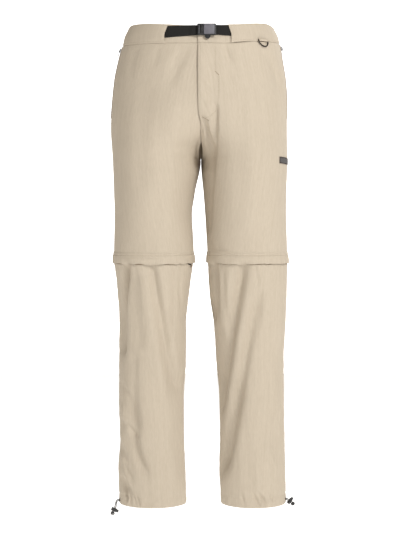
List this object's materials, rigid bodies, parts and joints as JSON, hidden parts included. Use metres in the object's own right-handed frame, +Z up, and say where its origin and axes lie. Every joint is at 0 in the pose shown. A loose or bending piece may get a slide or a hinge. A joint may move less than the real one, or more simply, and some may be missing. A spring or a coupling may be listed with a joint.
{
  "type": "zip-off outdoor trousers",
  "caption": "Lightweight outdoor trousers filled out as worn, with a webbing belt and flat buckle, a hip ring, zip-off lower legs and drawcords at the hems.",
  "frame": {"origin": "middle of the waistband, halfway up it, where the wearer's waist holds the trousers", "axes": "+Z up to the waist, -Y out of the front, -X towards the wearer's right"},
  "size_m": [0.4101, 0.2592, 1.0906],
  "materials": {
    "cloth": "crinkled matt nylon",
    "tape": "woven zip tape",
    "webbing": "black ribbed webbing",
    "black_plastic": "satin",
    "grey_plastic": "satin",
    "black_metal": "black lacquer",
    "pull_cord": "matt",
    "hem_cord": "dark braided cord",
    "badge_border": "stitched border",
    "badge_face": "bare woven face"
  },
  "bodies": {
    "trousers": {"back_left": "cloth", "back_right": "cloth", "badge": "badge_border", "badge_face": "badge_face", "belt_left": "webbing", "belt_right": "webbing", "buckle_bar": "grey_plastic", "buckle_frame": "black_plastic", "buckle_plate": "grey_plastic", "buckle_tab": "black_plastic", "cord_lock_left": "black_plastic", "cord_lock_right": "black_plastic", "front_left": "cloth", "front_right": "cloth", "hem_cord_left": "hem_cord", "hem_cord_right": "hem_cord", "hem_eyelet_left": "black_metal", "hem_eyelet_right": "black_metal", "knee_flap_left": "cloth", "knee_flap_right": "cloth", "knee_slider_left": "black_metal", "knee_slider_right": "black_metal", "knee_zip_left": "tape", "knee_zip_right": "tape", "lower_back_left": "cloth", "lower_back_right": "cloth", "lower_front_left": "cloth", "lower_front_right": "cloth", "pocket_slider_left": "black_metal", "pocket_slider_right": "black_metal", "pocket_zip_left": "tape", "pocket_zip_right": "tape", "ring_loop": "cloth", "waistband_front_left": "cloth", "waistband_front_right": "cloth", "waistband_left": "cloth", "waistband_right": "cloth"},
    "ring": {"d_ring": "black_metal"},
    "pocket_tab_right": {"pocket_pull_right": "pull_cord"},
    "pocket_tab_left": {"pocket_pull_left": "pull_cord"},
    "knee_tab_right": {"knee_pull_right": "pull_cord"},
    "knee_tab_left": {"knee_pull_left": "pull_cord"},
    "button_right": {"lock_button_right": "black_plastic"},
    "button_left": {"lock_button_left": "black_plastic"}
  },
  "joints": [
    {"name": "hip_ring_swing", "type": "hinge", "parent": "trousers", "child": "ring", "pos_m": [0.13602, -0.07467, -0.01218], "axis": [-0.7935, -0.6085, 0], "range_deg": [0, 80]},
    {"name": "pocket_tab_right_swing", "type": "hinge", "parent": "trousers", "child": "pocket_tab_right", "pos_m": [-0.18094, -0.00011, -0.0234], "axis": [-0.0063, 0.9975, 0.0708], "range_deg": [0, 90]},
    {"name": "pocket_tab_left_swing", "type": "hinge", "parent": "trousers", "child": "pocket_tab_left", "pos_m": [0.18141, -0.00008, -0.01901], "axis": [-0.0076, -0.998, -0.0629], "range_deg": [0, 90]},
    {"name": "knee_tab_right_swing", "type": "hinge", "parent": "trousers", "child": "knee_tab_right", "pos_m": [-0.02131, -0.03955, -0.50043], "axis": [-0.4559, -0.8901, 0], "range_deg": [0, 80]},
    {"name": "knee_tab_left_swing", "type": "hinge", "parent": "trousers", "child": "knee_tab_left", "pos_m": [0.02837, 0.03443, -0.49748], "axis": [0.6679, 0.7442, 0], "range_deg": [0, 80]},
    {"name": "lock_button_right_press", "type": "slide", "parent": "trousers", "child": "button_right", "axis": [-0.9112, 0, 0.4121], "range_m": [0, 0.0023], "stiffness_N_per_m": 500, "springref_m": -0.003},
    {"name": "lock_button_left_press", "type": "slide", "parent": "trousers", "child": "button_left", "axis": [-0.627, 0, -0.779], "range_m": [0, 0.0023], "stiffness_N_per_m": 500, "springref_m": -0.003}
  ]
}
